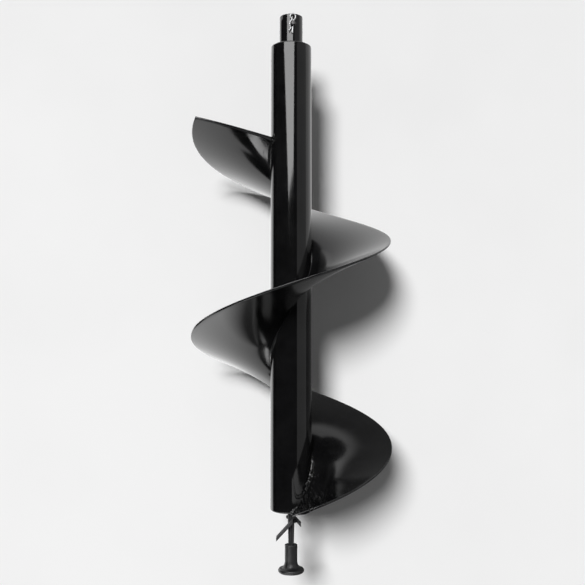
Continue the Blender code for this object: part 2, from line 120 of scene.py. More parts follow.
# ---------------- fine shape
PLATE_ROUND = 0.0007            # rounding of the flight's sheared edges
SLICES_PER_TURN = 220
STATIONS = 26                   # points from root to rim on each face of the flight
SIDES = 160
FINE_SIDES = 72
RIPPLE_PITCH = 0.0015           # between the ripples of a weld
RIPPLE_DEPTH = 0.10             # share of the bead's size
BEAD_STEPS = 6                  # slices for each ripple
BEAD_ARC = 10
BEAD_SHARE = 0.86               # a bead's size before its ripples, as a share of its leg
DROP_RADIUS = 0.0007            # of the largest drops of spatter

CORE_INSIDE = CORE_RADIUS - CORE_WALL
ROOT_RADIUS = CORE_RADIUS + GAP
ROOT_END_Z = CORE_BOTTOM - FLIGHT_OVERHANG
LEAN_SLOPE = FLIGHT_LEAN / (RIM_RADIUS - ROOT_RADIUS)
TOP_TURN = FLIGHT_END_TURN - FLIGHT_TURNS
CLIP_PLANE = SOCKET_RADIUS + CLIP_STANDOFF

# ---------------- viewpoint and stage
CAMERA_DISTANCE = 1.0268
CAMERA_TILT = 0.0471            # the view looks up the bit by this angle
CAMERA_AIM = Vector((0.00176, 0.0, -0.3518))
CAMERA_LENS = 50.2
CAMERA_SENSOR = 36.0
SURFACE_Y = RIM_RADIUS + 0.0006
SURFACE_SIZE = 7.0
REFLECTED_GLOW_LEFT = 1.55            # painted light: how pale the surface glows in the paint's reflections, on the left
# painted light: the surface's glow in the paint's reflections, on the right
REFLECTED_GLOW_RIGHT = 0.97
REFLECTED_PAINTED_SHADOW = 0.13           # painted shadow in that glow, where the flight's shadow lies on the surface
PAINTED_SHADOW_FADE_Z = (-0.35, -0.26)   # heights between which that painted shadow fades out upwards
SIDE_FADE_X = (-0.09, -0.02)    # where the left tone turns into the right one
MIRRORED_ROOM = 0.03            # the room round the bit, in reflections
AMBIENT = 0.13                  # light from all round on matt surfaces
BACKDROP = 0.86                 # what the camera sees beyond the surface
SUN_POWER = 3.1
SUN_WIDTH = math.radians(15)
SUN_AZIMUTH = math.radians(-13)     # round from the front, to the viewer's left
SUN_HEIGHT = math.radians(18.5)
PANEL_DISTANCE = 2.2
SOFTBOX_GLOW = 8.0
WALL_GLOW = 0.5
LOW_GLOW = 4.0
FLAG_X = -0.26                  # a black flag stands beside the bit, from the surface forwards
FLAG_FRONT = -0.01
FLAG_HEIGHTS = (-0.75, 0.1)
UPPER_CARD_Z = -0.215
UPPER_CARD_GLOW = 7.0
LOWER_CARD_Z = -0.80
LOWER_CARD_GLOW = 6.0


# ---------------- node helpers
class Shader:
    """A Principled material with short calls for the texture nodes that feed it."""

    def __init__(self, name):
        self.material = bpy.data.materials.new(name)
        self.material.use_nodes = True
        self.tree = self.material.node_tree
        self.nodes = self.tree.nodes
        self.principled = self.nodes["Principled BSDF"]
        self.place = self.nodes.new("ShaderNodeTexCoord").outputs["Object"]

    def link(self, source, socket):
        self.tree.links.new(source, socket)

    def set(self, **values):
        for key, value in values.items():
            self.principled.inputs[key.replace("_", " ")].default_value = value

    def feed(self, name, source):
        self.link(source, self.principled.inputs[name])

    def stretched(self, scale, turn=(0.0, 0.0, 0.0)):
        mapping = self.nodes.new("ShaderNodeMapping")
        mapping.inputs["Scale"].default_value = scale
        mapping.inputs["Rotation"].default_value = turn
        self.link(self.place, mapping.inputs["Vector"])
        return mapping.outputs["Vector"]

    def noise(self, scale, detail=3.0, rough=0.5, vector=None):
        node = self.nodes.new("ShaderNodeTexNoise")
        node.inputs["Scale"].default_value = scale
        node.inputs["Detail"].default_value = detail
        node.inputs["Roughness"].default_value = rough
        self.link(vector or self.place, node.inputs["Vector"])
        return node.outputs["Fac"]

    def cells(self, scale):
        node = self.nodes.new("ShaderNodeTexVoronoi")
        node.inputs["Scale"].default_value = scale
        self.link(self.place, node.inputs["Vector"])
        return node.outputs["Distance"]

    def remap(self, source, low, high, out_low, out_high):
        node = self.nodes.new("ShaderNodeMapRange")
        for socket, value in zip(node.inputs[1:5], (low, high, out_low, out_high)):
            socket.default_value = value
        self.link(source, node.inputs["Value"])
        return node.outputs["Result"]

    def math(self, operation, first, second):
        node = self.nodes.new("ShaderNodeMath")
        node.operation = operation
        for socket, value in zip(node.inputs, (first, second)):
            if isinstance(value, float):
                socket.default_value = value
            else:
                self.link(value, socket)
        return node.outputs["Value"]

    def mix(self, factor, first, second):
        node = self.nodes.new("ShaderNodeMix")
        node.data_type = "RGBA"
        self.link(factor, node.inputs["Factor"])
        for key, value in (("A", first), ("B", second)):
            socket = [s for s in node.inputs if s.name == key and s.type == "RGBA"][0]
            if isinstance(value, tuple):
                socket.default_value = (*value, 1.0)
            else:
                self.link(value, socket)
        return [s for s in node.outputs if s.type == "RGBA"][0]

    def attribute(self, name):
        node = self.nodes.new("ShaderNodeAttribute")
        node.attribute_name = name
        return node.outputs["Fac"]

    def upward(self):
        """How far the surface faces up the axis, from 0 to 1."""
        geometry = self.nodes.new("ShaderNodeNewGeometry")
        split = self.nodes.new("ShaderNodeSeparateXYZ")
        self.link(geometry.outputs["Normal"], split.inputs["Vector"])
        return self.remap(split.outputs["Z"], 0.25, 0.95, 0.0, 1.0)

    def bump(self, *layers):
        """Layers are (height, depth in metres)."""
        below = None
        for height, depth in layers:
            node = self.nodes.new("ShaderNodeBump")
            node.inputs["Strength"].default_value = 1.0
            node.inputs["Distance"].default_value = depth
            self.link(height, node.inputs["Height"])
            if below is not None:
                self.link(below, node.inputs["Normal"])
            below = node.outputs["Normal"]
        self.feed("Normal", below)


# ---------------- materials
PAINT = (0.0026, 0.0026, 0.0028)
PAINT_THIN = (0.0062, 0.0062, 0.0066)
PAINT_WORN = (0.045, 0.045, 0.047)
DUST = (0.085, 0.083, 0.080)
PAINT_CREST = (0.018, 0.018, 0.019)
# steel showing through rubbed paint, and also the rod's painted sheen
STEEL_AND_SHEEN = (0.16, 0.16, 0.165)
OXIDE = (0.030, 0.030, 0.033)
OXIDE_PALE = (0.075, 0.073, 0.072)
RUBBED_STEEL = (0.32, 0.32, 0.33)
ZINC_DULL = (0.30, 0.31, 0.32)
ZINC_BRIGHT = (0.50, 0.50, 0.50)
RUBBER = (0.006, 0.006, 0.0065)
RUBBER_BLOOM = (0.013, 0.013, 0.0135)
RUBBER_EDGE = (0.05, 0.05, 0.05)
BOARD = (0.80, 0.80, 0.80)
BOARD_PALE = (0.86, 0.86, 0.86)
ORANGE_PEEL = 0.000012          # depth of the enamel's texture


def enamel(name, roughness, wave, bare_and_sheen=0.0):
    """Gloss black enamel: orange peel, slow waves, hairline rubs, dust and thin edges.
    roughness is its nominal value, wave the depth of its slow waves, and bare how much of the steel shows
    through where it has rubbed; on the rod this is partly a painted sheen that lightens it all over."""
    paint = Shader(name)
    mottle = paint.noise(38.0, 6.0, 0.6)
    fine = paint.noise(900.0, 2.0)
    rubs = paint.noise(26.0, 3.0, 0.5, paint.stretched((1.0, 1.0, 38.0), (0.35, 0.2, 0.0)))
    rubs = paint.remap(rubs, 0.60, 0.72, 0.0, 1.0)
    specks = paint.remap(paint.cells(420.0), 0.0, 0.16, 1.0, 0.0)
    patches = paint.remap(paint.noise(17.0, 5.0, 0.65), 0.52, 0.78, 0.0, 1.0)
    edge = paint.math("MULTIPLY", paint.attribute("edge"), paint.remap(mottle, 0.35, 0.7, 0.2, 1.0))
    dust = paint.math("MULTIPLY", paint.math("MULTIPLY", specks, patches), paint.upward())
    base = paint.mix(paint.remap(mottle, 0.3, 0.75, 0.0, 1.0), PAINT, PAINT_THIN)
    base = paint.mix(edge, base, PAINT_WORN)
    base = paint.mix(paint.math("MULTIPLY", dust, 0.5), base, DUST)
    # paler towards steel: real rubbing, and on the rod partly a painted sheen
    base = paint.mix(paint.remap(mottle, 0.3, 0.7, bare_and_sheen * 0.6, bare_and_sheen), base, STEEL_AND_SHEEN)
    paint.feed("Base Color", base)
    rough = paint.remap(mottle, 0.25, 0.8, roughness * 0.75, roughness * 1.5)
    rough = paint.math("ADD", rough, paint.math("MULTIPLY", rubs, 0.05))
    rough = paint.math("ADD", rough, paint.math("MULTIPLY", edge, 0.16))
    rough = paint.math("ADD", rough, paint.math("MULTIPLY", dust, 0.35))
    paint.feed("Roughness", rough)
    paint.set(Metallic=0.0, IOR=1.46)
    waves, peel = paint.noise(7.0, 1.0), paint.noise(330.0, 2.0)
    paint.bump((waves, wave), (peel, ORANGE_PEEL), (fine, ORANGE_PEEL * 0.3))
    return paint.material


def weld_enamel(name):
    """The same paint over a bead: it pools in the ripples and leaves pits."""
    paint = Shader(name)
    grain = paint.noise(420.0, 5.0, 0.65)
    pits = paint.remap(paint.cells(900.0), 0.0, 0.35, 0.0, 1.0)
    crests = paint.remap(grain, 0.55, 0.75, 0.0, 1.0)
    edge = paint.math("MULTIPLY", paint.attribute("edge"), crests)
    base = paint.mix(crests, PAINT, PAINT_CREST)
    paint.feed("Base Color", paint.mix(edge, base, PAINT_WORN))
    paint.feed("Roughness", paint.remap(grain, 0.3, 0.75, 0.09, 0.26))
    paint.set(Metallic=0.0, IOR=1.46)
    paint.bump((grain, 0.00022), (pits, 0.00006))
    return paint.material


def oxide_steel(name):
    """Blackened pin steel with turning marks and bright rubs."""
    steel = Shader(name)
    clouds = steel.noise(160.0, 5.0, 0.6)
    turning = steel.noise(60.0, 2.0, 0.5, steel.stretched((1.0, 60.0, 1.0)))
    rubbed = steel.math("MULTIPLY", steel.attribute("edge"), steel.remap(clouds, 0.4, 0.7, 0.2, 1.0))
    base = steel.mix(steel.remap(clouds, 0.3, 0.7, 0.0, 1.0), OXIDE, OXIDE_PALE)
    steel.feed("Base Color", steel.mix(rubbed, base, RUBBED_STEEL))
    steel.feed("Roughness", steel.remap(clouds, 0.3, 0.75, 0.28, 0.46))
    steel.set(Metallic=1.0)
    steel.bump((turning, 0.00002), (clouds, 0.00001))
    return steel.material


def zinc_wire(name):
    """Bright zinc-plated spring wire with faint clouding and draw lines."""
    zinc = Shader(name)
    clouds = zinc.noise(500.0, 5.0, 0.6)
    lines = zinc.noise(240.0, 3.0, 0.6, zinc.stretched((6.0, 6.0, 0.6)))
    base = zinc.mix(zinc.remap(clouds, 0.3, 0.7, 0.0, 1.0), ZINC_DULL, ZINC_BRIGHT)
    zinc.feed("Base Color", base)
    zinc.feed("Roughness", zinc.remap(clouds, 0.3, 0.7, 0.24, 0.40))
    zinc.set(Metallic=1.0)
    zinc.bump((lines, 0.00002), (clouds, 0.00001))
    return zinc.material


def moulded_rubber(name):
    """Satin black rubber: fine mould texture, bloom and rubbed high spots."""
    rubber = Shader(name)
    bloom = rubber.noise(110.0, 5.0, 0.62)
    grain = rubber.noise(2600.0, 3.0, 0.6)
    handled = rubber.remap(rubber.noise(45.0, 3.0), 0.45, 0.7, 0.0, 1.0)
    edge = rubber.math("MULTIPLY", rubber.attribute("edge"), 0.6)
    base = rubber.mix(rubber.remap(bloom, 0.35, 0.75, 0.0, 1.0), RUBBER, RUBBER_BLOOM)
    rubber.feed("Base Color", rubber.mix(edge, base, RUBBER_EDGE))
    rough = rubber.remap(bloom, 0.3, 0.75, 0.40, 0.55)
    rough = rubber.math("SUBTRACT", rough, rubber.math("MULTIPLY", handled, 0.08))
    rubber.feed("Roughness", rough)
    rubber.set(Metallic=0.0, IOR=1.52)
    rubber.bump((bloom, 0.00008), (grain, 0.00003))
    return rubber.material


MATERIALS = {
    "tube": enamel("tube_enamel", roughness=0.075, wave=0.00006),
    "flight": enamel("flight_enamel", roughness=0.13, wave=0.0004),
    "fitting": enamel("fitting_enamel", roughness=0.16, wave=0.0),
    # the rod's pale steel tone is partly a painted sheen that lightens it all over
    "rod": enamel("rod_enamel", roughness=0.17, wave=0.0, bare_and_sheen=0.14),
    "blade": enamel("blade_enamel", roughness=0.55, wave=0.0),
    "weld": weld_enamel("weld_enamel"),
    "pin": oxide_steel("oxide_steel"),
    "clip": zinc_wire("zinc_wire"),
    "rubber": moulded_rubber("moulded_rubber"),
}


# ---------------- mesh building blocks
def linked(name, data):
    """A new object in the scene."""
    thing = bpy.data.objects.new(name, data)
    bpy.context.scene.collection.objects.link(thing)
    return thing


def mark_edges(shape, angle):
    """Store how near each point is to a rounded or sharp edge, as the attribute edge."""
    layer = shape.verts.layers.float.new("edge")
    for edge in shape.edges:
        if len(edge.link_faces) == 2 and edge.calc_face_angle(0.0) > angle:
            for point in edge.verts:
                point[layer] = 1.0


def add_piece(name, shape, look, body, *nodes, edge_angle=12.0, sharp=38.0):
    """Finish a bmesh as a piece that rides on a body and stands for CAD nodes."""
    bmesh.ops.recalc_face_normals(shape, faces=shape.faces)
    mark_edges(shape, math.radians(edge_angle))
    mesh = bpy.data.meshes.new(name)
    shape.to_mesh(mesh)
    shape.free()
    mesh.shade_smooth()
    mesh.set_sharp_from_angle(angle=math.radians(sharp))
    mesh.materials.append(MATERIALS[look])
    piece = linked(name, mesh)
    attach(piece, body)
    if nodes:
        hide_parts(*nodes)


def arc(middle, radius, start, stop, steps=6):
    """Points of an arc in (radius, height), angles in degrees from the outward direction."""
    points = []
    for i in range(steps + 1):
        angle = math.radians(start + (stop - start) * i / steps)
        points.append((middle[0] + radius * math.cos(angle), middle[1] + radius * math.sin(angle)))
    return points


def turned(profile, sides, closed=True):
    """Spin a (radius, height) outline round Z."""
    shape = bmesh.new()
    points = [shape.verts.new((radius, 0.0, height)) for radius, height in profile]
    pairs = list(zip(points, points[1:]))
    if closed:
        pairs.append((points[-1], points[0]))
    edges = [shape.edges.new(pair) for pair in pairs]
    bmesh.ops.spin(
        shape, geom=points + edges, cent=(0, 0, 0), axis=(0, 0, 1),
        angle=math.tau, steps=sides, use_merge=True,
    )
    bmesh.ops.remove_doubles(shape, verts=shape.verts, dist=1e-7)
    return shape


def along(start, end, count):
    """Evenly spaced (radius, height) points between two, ends left out."""
    return [
        tuple(a + (b - a) * i / (count + 1) for a, b in zip(start, end))
        for i in range(1, count + 1)
    ]


def lofted(sections, loop=False, strips=False):
    """Skin closed sections of equal point counts.  An open end is closed by a fan or, with
    strips, straight across from the first half of its outline to the second."""
    shape = bmesh.new()
    rows = [[shape.verts.new(point) for point in section] for section in sections]
    count = len(rows[0])
    pairs = list(zip(rows, rows[1:]))
    if loop:
        pairs.append((rows[-1], rows[0]))
    for near, far in pairs:
        for i in range(count):
            j = (i + 1) % count
            shape.faces.new((near[i], near[j], far[j], far[i]))
    for row in () if loop else (rows[0], rows[-1]):
        if strips:
            for i in range(count // 2 - 1):
                shape.faces.new((row[i], row[i + 1], row[count - 2 - i], row[count - 1 - i]))
            continue
        middle = shape.verts.new(sum((point.co for point in row), Vector()) / count)
        for i in range(count):
            shape.faces.new((row[i], row[(i + 1) % count], middle))
    return shape


def drilled(shape, radius, depth, place, sides=FINE_SIDES):
    """Cut a round hole along the local Z of a matrix out of a bmesh."""
    cutter = bmesh.new()
    bmesh.ops.create_cone(
        cutter, segments=sides, radius1=radius, radius2=radius, depth=depth, cap_ends=True
    )
    bmesh.ops.transform(cutter, matrix=place, verts=cutter.verts)
    objects = []
    for name, source in (("solid", shape), ("cutter", cutter)):
        bmesh.ops.recalc_face_normals(source, faces=source.faces)
        mesh = bpy.data.meshes.new(name)
        source.to_mesh(mesh)
        source.free()
        thing = linked(name, mesh)
        objects.append(thing)
    solid, tool = objects
    cut = solid.modifiers.new("drill", "BOOLEAN")
    cut.operation = "DIFFERENCE"
    cut.solver = "EXACT"
    cut.object = tool
    graph = bpy.context.evaluated_depsgraph_get()
    result = bmesh.new()
    result.from_mesh(solid.evaluated_get(graph).to_mesh())
    for thing in objects:
        bpy.data.objects.remove(thing, do_unlink=True)
    return result


def jitter(place, scale, amount):
    """Smooth repeatable noise of a place, between -amount and amount."""
    return amount * noise.noise(place * scale)


# ---------------- core tube and end plates
def make_core_tube():
    edge = CORE_EDGE
    outline = [(CORE_INSIDE, CORE_BOTTOM + GROOVE), (CORE_INSIDE + GROOVE, CORE_BOTTOM)]
    outline += arc((CORE_RADIUS - edge, CORE_BOTTOM + edge), edge, -90, 0)
    outline += along((CORE_RADIUS, CORE_BOTTOM + edge), (CORE_RADIUS, CORE_TOP - edge), 40)
    outline += arc((CORE_RADIUS - edge, CORE_TOP - edge), edge, 0, 90)
    outline += [(CORE_INSIDE + GROOVE, CORE_TOP), (CORE_INSIDE, CORE_TOP - GROOVE)]
    add_piece("core_tube_fine", turned(outline, SIDES), "tube", "auger", "core_tube")


def end_plate(name, bore, face, inward):
    """A flat disc in the tube's end, with a chamfered bore edge and a grooved rim."""
    outer = CORE_INSIDE - GAP
    inner = bore + GAP
    back = face + inward * PLATE_THICKNESS
    outline = [(inner, face + inward * SOCKET_EDGE * 0.4), (inner + SOCKET_EDGE * 0.4, face)]
    outline += [(outer - GROOVE, face), (outer, face + inward * GROOVE)]
    outline += [(outer, back), (inner, back)]
    add_piece(name + "_fine", turned(outline, SIDES), "fitting", "auger", name)


# ---------------- welds
def ripple(travel, angle):
    """Height of a bead's crescent ripples: travel along it and angle across it."""
    phase = travel / RIPPLE_PITCH + 0.45 * math.sin(angle)
    share = phase - math.floor(phase)
    return RIPPLE_DEPTH * (1.0 - share) ** 1.6 if share > 0.12 else RIPPLE_DEPTH * share / 0.12


def bead_section(corner, wall, plate, size, travel, rough=0.10):
    """Section of a fillet bead in a corner: wall and plate are unit directions away from it."""
    points = [corner]
    for i in range(BEAD_ARC + 1):
        angle = math.pi / 2 * i / BEAD_ARC
        swell = 1 - 0.16 * math.sin(2 * angle) + ripple(travel, 2 * angle)
        direction = plate * math.cos(angle) + wall * math.sin(angle)
        spot = corner + direction * size
        swell += jitter(spot, 420.0, rough) + jitter(spot, 1100.0, rough * 0.5)
        points.append(corner + direction * size * swell)
    return points


def ring_weld(name, inner, face, side, leg, node):
    """A fillet bead all round a shaft, standing off a plate's face on one side."""
    count = int(math.tau * inner / RIPPLE_PITCH)
    steps = count * BEAD_STEPS
    size = leg * BEAD_SHARE
    up = Vector((0.0, 0.0, side))
    sections = []
    for step in range(steps):
        angle = math.tau * step / steps
        away = Vector((math.cos(angle), math.sin(angle), 0.0))
        corner = away * (inner + GAP) + Vector((0.0, 0.0, face + side * GAP))
        travel = count * RIPPLE_PITCH * step / steps
        sections.append(bead_section(corner, up, away, size, travel, 0.06))
    add_piece(name, lofted(sections, loop=True), "weld", "auger", node, edge_angle=25)


def groove_ring(name, face, outward, node):
    """Weld that fills the groove round an end plate, dressed down to faint ripples."""
    middle = CORE_INSIDE - GAP / 2
    half = GROOVE - GAP
    count = int(math.tau * middle / RIPPLE_PITCH)
    sections = []
    for step in range(count * BEAD_STEPS):
        angle = math.tau * step / (count * BEAD_STEPS)
        away = Vector((math.cos(angle), math.sin(angle), 0.0))
        travel = step * RIPPLE_PITCH / BEAD_STEPS
        section = [away * middle + Vector((0.0, 0.0, face - outward * half))]
        for i in range(BEAD_ARC + 1):
            across = 1 - 2 * i / BEAD_ARC
            crown = GAP * (1 - across ** 2) * (0.8 + 2.2 * ripple(travel, across * 2))
            spot = away * (middle + half * across)
            crown += abs(jitter(spot, 300.0, GAP * 0.5)) * (1 - across ** 2)
            section.append(spot + Vector((0.0, 0.0, face + outward * crown)))
        sections.append(section)
    add_piece(name, lofted(sections, loop=True), "weld", "auger", node, edge_angle=25)


def taper(share):
    """Size of a bead along its length: full in the middle and small at its ends."""
    return max(0.22, (1 - abs(2 * share - 1) ** 4) ** 0.5)


def spatter(shape, centre, spread, normal, count, seed):
    """Frozen drops of weld metal on a surface, flattened and uneven."""
    draw = random.Random(seed)
    side = normal.orthogonal().normalized()
    other = normal.cross(side)
    for _ in range(count):
        offset = side * draw.gauss(0, spread) + other * draw.gauss(0, spread)
        radius = DROP_RADIUS * draw.uniform(0.35, 1.0)
        drop = bmesh.ops.create_icosphere(shape, subdivisions=2, radius=radius)["verts"]
        flat = draw.uniform(0.45, 0.8)
        for point in drop:
            lift = point.co.dot(normal) * (flat - 1)
            point.co += normal * lift
            point.co *= 1 + jitter(point.co + offset, 900.0, 0.25)
            point.co += centre + offset


# ---------------- flight
def outward(turn):
    """Unit vector away from the axis.  Turn 0 is the front, and turns grow downwards."""
    return Vector((-math.sin(math.tau * turn), -math.cos(math.tau * turn), 0.0))


def flight_height(turn, radius):
    drop = FLIGHT_PITCH * (FLIGHT_END_TURN - turn)
    return ROOT_END_Z + drop + LEAN_SLOPE * (radius - ROOT_RADIUS)


def steepness(radius):
    climb = FLIGHT_PITCH / (math.tau * radius)
    return math.sqrt(1 + climb**2 + LEAN_SLOPE**2)


def flight_point(turn, radius, offset):
    height = flight_height(turn, radius) + offset * steepness(radius)
    return outward(turn) * radius + Vector((0.0, 0.0, height))


def lag(width, radius):
    """Turns between a radial line and a line beside it, a width away."""
    return math.asin(width / radius) / math.tau


def top_cut(radius):
    return TOP_TURN - TOP_CUT_SKEW * (RIM_RADIUS - radius) / (RIM_RADIUS - ROOT_RADIUS)


def rounded(distance, radius):
    """How much a face is lowered at a distance from an edge rounded by a radius."""
    if distance >= radius:
        return 0.0
    return radius - math.sqrt(radius**2 - (radius - distance) ** 2)


def plate_outline(upper, lower, edge):
    """(radius, offset) round a section of plate, with its rim rounded on both faces."""
    stations = [
        ROOT_RADIUS + (RIM_RADIUS - edge - ROOT_RADIUS) * (i / STATIONS) ** 1.25
        for i in range(STATIONS + 1)
    ]
    curl = [math.radians(90 * i / 4) for i in range(1, 5)]
    top = [(radius, upper) for radius in stations]
    top += [
        (RIM_RADIUS - edge + edge * math.sin(a), upper - edge * (1 - math.cos(a))) for a in curl
    ]
    bottom = [
        (RIM_RADIUS - edge + edge * math.sin(a), lower + edge * (1 - math.cos(a)))
        for a in reversed(curl)
    ]
    bottom += [(radius, lower) for radius in reversed(stations)]
    return top + bottom


def flight_skin(first, last, upper, lower):
    """Flight plate with rounded rim and ends.  first and last give its ends in turns at a
    radius, upper and lower its faces' offsets at a share of the way along it."""
    length = (last(RIM_RADIUS) - first(RIM_RADIUS)) * math.tau * RIM_RADIUS
    steps = max(10, math.ceil((last(RIM_RADIUS) - first(RIM_RADIUS)) * SLICES_PER_TURN))
    rim_steps = [PLATE_ROUND * (1 - math.cos(math.radians(30 * i))) for i in range(4)]
    places = [distance / length for distance in rim_steps]
    places += [i / steps for i in range(1, steps)]
    places += [1 - distance / length for distance in reversed(rim_steps)]
    places = sorted(place for place in places if 0 <= place <= 1)
    sections = []
    for share in places:
        from_end = min(share, 1 - share) * length
        sunk = rounded(from_end, PLATE_ROUND)
        top, bottom = upper(share) - sunk, lower(share) + sunk
        edge = min(PLATE_ROUND, (top - bottom) * 0.45)
        section = []
        for radius, offset in plate_outline(top, bottom, edge):
            turn = first(radius) + share * (last(radius) - first(radius))
            section.append(flight_point(turn, radius, offset))
        sections.append(section)
    return lofted(sections, strips=True)


def make_flight():
    half = FLIGHT_PLATE / 2
    seam_half = SEAM_WIDTH / 2
    weld_back = BLADE_WIDTH + GAP + SEAM_WIDTH
    flat = (lambda share: half), (lambda share: -half)
    shape = flight_skin(top_cut, lambda r: SEAM_TURN - lag(seam_half, r), *flat)
    add_piece("flight_upper_fine", shape, "flight", "auger", "flight_upper")
    shape = flight_skin(
        lambda r: SEAM_TURN + lag(seam_half, r), lambda r: FLIGHT_END_TURN - lag(weld_back, r), *flat
    )
    add_piece("flight_lower_fine", shape, "flight", "auger", "flight_lower")
    cross_bead(
        "flight_seam_weld_fine", lambda r: SEAM_TURN - lag(seam_half - GAP, r),
        lambda r: SEAM_TURN + lag(seam_half - GAP, r), "flight_seam_weld",
    )
    cross_bead(
        "cutting_blade_weld_fine", lambda r: FLIGHT_END_TURN - lag(weld_back - GAP, r),
        lambda r: FLIGHT_END_TURN - lag(BLADE_WIDTH + GAP, r), "cutting_blade_weld",
    )


def cross_bead(name, first, last, node):
    """A butt weld from root to rim that stands a little proud of both faces."""
    length = RIM_RADIUS - ROOT_RADIUS
    count = int(length / RIPPLE_PITCH * BEAD_STEPS)
    sections = []
    for step in range(count + 1):
        radius = ROOT_RADIUS + length * step / count
        end = min(step, count - step) / count * length
        section = []
        for face in (1, -1):
            for i in range(BEAD_ARC + 1):
                across = i / BEAD_ARC if face > 0 else 1 - i / BEAD_ARC
                bulge = math.sin(math.pi * across)
                crown = 0.62 + 0.30 * bulge + 0.6 * bulge * ripple(radius, bulge * 2)
                turn = first(radius) + across * (last(radius) - first(radius))
                spot = outward(turn) * radius
                crown += jitter(spot, 380.0, 0.05) * bulge
                offset = face * (SEAM_THICKNESS / 2 * crown - rounded(end, PLATE_ROUND))
                section.append(flight_point(turn, radius, offset))
        sections.append(section)
    add_piece(name, lofted(sections), "weld", "auger", node, edge_angle=25)


def make_cutting_blade():
    """The hard strip on the flight's leading end, flush on top and ground from below."""
    top = FLIGHT_PLATE / 2
    ground = 0.45

    def underside(share):
        if share < ground:
            return top - BLADE_THICKNESS
        left = (1 - share) / (1 - ground)
        return top - BLADE_EDGE - (BLADE_THICKNESS - BLADE_EDGE) * left

    shape = flight_skin(
        lambda r: FLIGHT_END_TURN - lag(BLADE_WIDTH, r), lambda r: FLIGHT_END_TURN,
        lambda share: top, underside,
    )
    add_piece("cutting_blade_fine", shape, "fitting", "auger", "cutting_blade")


def lump(shape, centre, radius, squash, seed):
    """An uneven blob of weld metal, flattened along one direction."""
    blob = bmesh.ops.create_icosphere(shape, subdivisions=4, radius=radius)["verts"]
    shift = Vector((seed * 3.1, seed * 1.7, seed * 2.3))
    for point in blob:
        point.co *= 1 + jitter(point.co + shift, 420.0, 0.34) + jitter(point.co + shift, 1200.0, 0.12)
        point.co -= squash * point.co.dot(squash) * 0.45
        point.co += centre


def junction_bead(name, first, last, side, node, drops=0, lumps=(), wrap=()):
    """A rippled fillet between the core tube and one face of the flight.  lumps are the
    (turn, distance off the tube, offset, radius) of the bead's starts and stops, and wrap
    the (degrees round from the front, height over the tube's end, radius) of its run-out."""
    helix = math.hypot(math.tau * ROOT_RADIUS, FLIGHT_PITCH)
    count = int((last - first) * helix / RIPPLE_PITCH * BEAD_STEPS)
    clear = side * (FLIGHT_PLATE / 2 + GAP)
    up = Vector((0.0, 0.0, side))
    sections = []
    for step in range(count + 1):
        share = step / count
        turn = first + share * (last - first)
        size = JUNCTION_LEG * taper(share) * (0.93 + 0.1 * noise.noise(Vector((share * 9, side, first))))
        corner = flight_point(turn, ROOT_RADIUS, clear)
        foot = flight_point(turn, ROOT_RADIUS + size, clear)
        plate = (foot - corner).normalized()
        travel = (turn - first) * helix
        section = bead_section(corner, up * steepness(ROOT_RADIUS), plate, size * BEAD_SHARE, travel)
        sections.append(section)
    shape = lofted(sections)
    if drops:
        centre = flight_point((first + last) / 2, ROOT_RADIUS + JUNCTION_LEG * 1.4, clear)
        spatter(shape, centre, 0.0035, Vector((0.0, -0.45 * side, side)).normalized(), drops, drops)
    for number, (turn, off, offset, radius) in enumerate(lumps):
        centre = flight_point(turn, ROOT_RADIUS + off, offset)
        lump(shape, centre, radius, outward(turn), number + count)
    for number, (degrees, height, radius) in enumerate(wrap):
        away = Vector((math.sin(math.radians(degrees)), -math.cos(math.radians(degrees)), 0.0))
        centre = away * ROOT_RADIUS + Vector((0.0, 0.0, CORE_BOTTOM + height))
        lump(shape, centre, radius, away, 2 * number + count)
    add_piece(name, shape, "weld", "auger", node, edge_angle=25)


def make_junction_beads():
    start = top_cut(ROOT_RADIUS) + 0.004
    ends = [(start - 0.014, 0.0006, 0.0, 0.0028), (start - 0.006, 0.0010, -0.0022, 0.0030)]
    ends += [(start + 0.011, 0.0012, -0.0036, 0.0027), (start + 0.030, 0.0014, -0.0040, 0.0026)]
    junction_bead("flight_top_weld_fine", start, start + 0.111, -1, "flight_top_weld", 9, ends)
    for number, begin in enumerate((-0.52, -0.02, 0.53), start=1):
        side = 1 if number == 2 else -1
        junction_bead(f"stitch_weld_{number}_fine", begin, begin + 0.10, side, f"stitch_weld_{number}")
    stop = FLIGHT_END_TURN - lag(BLADE_WIDTH + SEAM_WIDTH + 2 * GAP, ROOT_RADIUS) - 0.004
    ends = [(stop - 0.004, 0.0012, 0.0030, 0.0036), (stop - 0.022, 0.0020, 0.0042, 0.0034)]
    ends += [(stop - 0.043, 0.0016, 0.0050, 0.0030), (stop - 0.070, 0.0022, 0.0040, 0.0030)]
    ends += [(stop + 0.016, 0.0030, 0.0034, 0.0028), (stop + 0.028, 0.0012, 0.0022, 0.0026)]
    wrap = [(2, 0.0018, 0.0024), (8, 0.0040, 0.0029), (14, 0.0022, 0.0026), (17, 0.0066, 0.0027)]
    wrap += [(24, 0.0052, 0.0024), (27, 0.0096, 0.0026), (33, 0.0150, 0.0029), (37, 0.0112, 0.0022)]
    bead = ("flight_bottom_weld_fine", stop - 0.12, stop, 1, "flight_bottom_weld")
    junction_bead(*bead, drops=30, lumps=ends, wrap=wrap)


# ---------------- drive socket, pin and clip
ALONG_PIN = Matrix.Rotation(-math.pi / 2, 4, "X")
PIN_FRAME = Matrix.Translation((0.0, 0.0, -PIN_DROP)) @ Matrix.Rotation(PIN_TURN, 4, "Z")
CLIP_FRAME = PIN_FRAME @ Matrix.Rotation(CLIP_TILT, 4, "Y")


